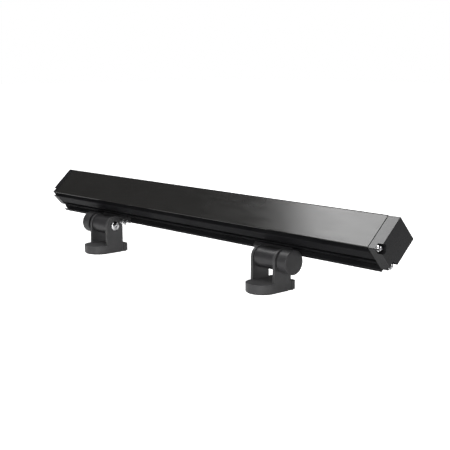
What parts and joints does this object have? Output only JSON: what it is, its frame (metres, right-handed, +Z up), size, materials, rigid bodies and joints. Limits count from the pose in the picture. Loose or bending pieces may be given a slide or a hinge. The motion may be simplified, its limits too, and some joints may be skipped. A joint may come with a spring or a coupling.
{
  "type": "led strip batten",
  "caption": "Slim stage batten: tilted black bar with a smoked window and rear rail, on two clamped feet that tilt on forked knuckles locked by side knobs.",
  "frame": {"origin": "middle of the object's length and depth, on the surface that the feet stand on", "axes": "+X along the bar, +Z up, -Y the side that the window and the feet's round fronts face"},
  "size_m": [1, 0.1336, 0.1688],
  "materials": {
    "anodised_black": "black anodised, fine satin",
    "smoked_window": "polished smoked acrylic, near opaque",
    "charcoal_cast": "charcoal powder coat, fine texture",
    "charcoal_knob": "moulded charcoal plastic",
    "bright_steel": "polished stainless steel",
    "zinc_steel": "zinc plated",
    "brass": "turned brass",
    "black_rubber": "matte rubber",
    "circuit_board": "green solder mask",
    "led_board": "white solder mask",
    "clear_lens": "clear polycarbonate",
    "plain_aluminium": "plain mill finish",
    "nylon": "black glass-filled nylon"
  },
  "bodies": {
    "bar": {"housing_extrusion": "anodised_black", "front_window": "smoked_window", "window_seal": "black_rubber", "end_cap_left": "anodised_black", "end_seal_left": "black_rubber", "end_screw_left_upper": "bright_steel", "end_screw_left_lower": "bright_steel", "end_cap_right": "anodised_black", "end_seal_right": "black_rubber", "end_screw_right_upper": "bright_steel", "end_screw_right_lower": "bright_steel", "led_carrier": "plain_aluminium", "led_board_1": "led_board", "lens_strip_1": "clear_lens", "led_board_2": "led_board", "lens_strip_2": "clear_lens", "led_board_3": "led_board", "lens_strip_3": "clear_lens", "led_board_4": "led_board", "lens_strip_4": "clear_lens", "led_driver": "plain_aluminium", "control_board": "circuit_board", "power_lead": "black_rubber", "led_lead": "black_rubber", "power_inlet": "nylon", "power_outlet": "nylon", "data_inlet": "nylon", "data_outlet": "nylon", "pressure_vent": "nylon"},
    "clamp_left": {"clamp_arm_left": "charcoal_cast", "slot_nut_left": "zinc_steel", "clamp_screw_left_1": "bright_steel", "clamp_screw_left_2": "bright_steel"},
    "foot_left": {"foot_left": "charcoal_cast", "rubber_pad_left": "black_rubber", "pivot_bolt_left": "bright_steel", "friction_washer_left_1": "nylon", "friction_washer_left_2": "nylon", "knob_spacer_left": "zinc_steel"},
    "knob_left": {"knob_left": "charcoal_knob", "knob_insert_left": "brass"},
    "clamp_right": {"clamp_arm_right": "charcoal_cast", "slot_nut_right": "zinc_steel", "clamp_screw_right_1": "bright_steel", "clamp_screw_right_2": "bright_steel"},
    "foot_right": {"foot_right": "charcoal_cast", "rubber_pad_right": "black_rubber", "pivot_bolt_right": "bright_steel", "friction_washer_right_1": "nylon", "friction_washer_right_2": "nylon", "knob_spacer_right": "zinc_steel"},
    "knob_right": {"knob_right": "charcoal_knob", "knob_insert_right": "brass"}
  },
  "joints": [
    {"name": "clamp_slide_left", "type": "slide", "parent": "bar", "child": "clamp_left", "axis": [1, 0, 0], "range_m": [-0.12, 0.18]},
    {"name": "tilt_left", "type": "hinge", "parent": "clamp_left", "child": "foot_left", "pos_m": [-0.297, -0.01222, 0.0619], "axis": [1, 0, 0], "range_deg": [-100, 45]},
    {"name": "knob_turn_left", "type": "hinge", "parent": "foot_left", "child": "knob_left", "pos_m": [-0.347, -0.01222, 0.0619], "axis": [1, 0, 0], "continuous": true},
    {"name": "clamp_slide_right", "type": "slide", "parent": "bar", "child": "clamp_right", "axis": [1, 0, 0], "range_m": [-0.18, 0.16]},
    {"name": "tilt_right", "type": "hinge", "parent": "clamp_right", "child": "foot_right", "pos_m": [0.23, -0.01222, 0.0619], "axis": [1, 0, 0], "range_deg": [-100, 45]},
    {"name": "knob_turn_right", "type": "hinge", "parent": "foot_right", "child": "knob_right", "pos_m": [0.28, -0.01222, 0.0619], "axis": [1, 0, 0], "continuous": true}
  ]
}
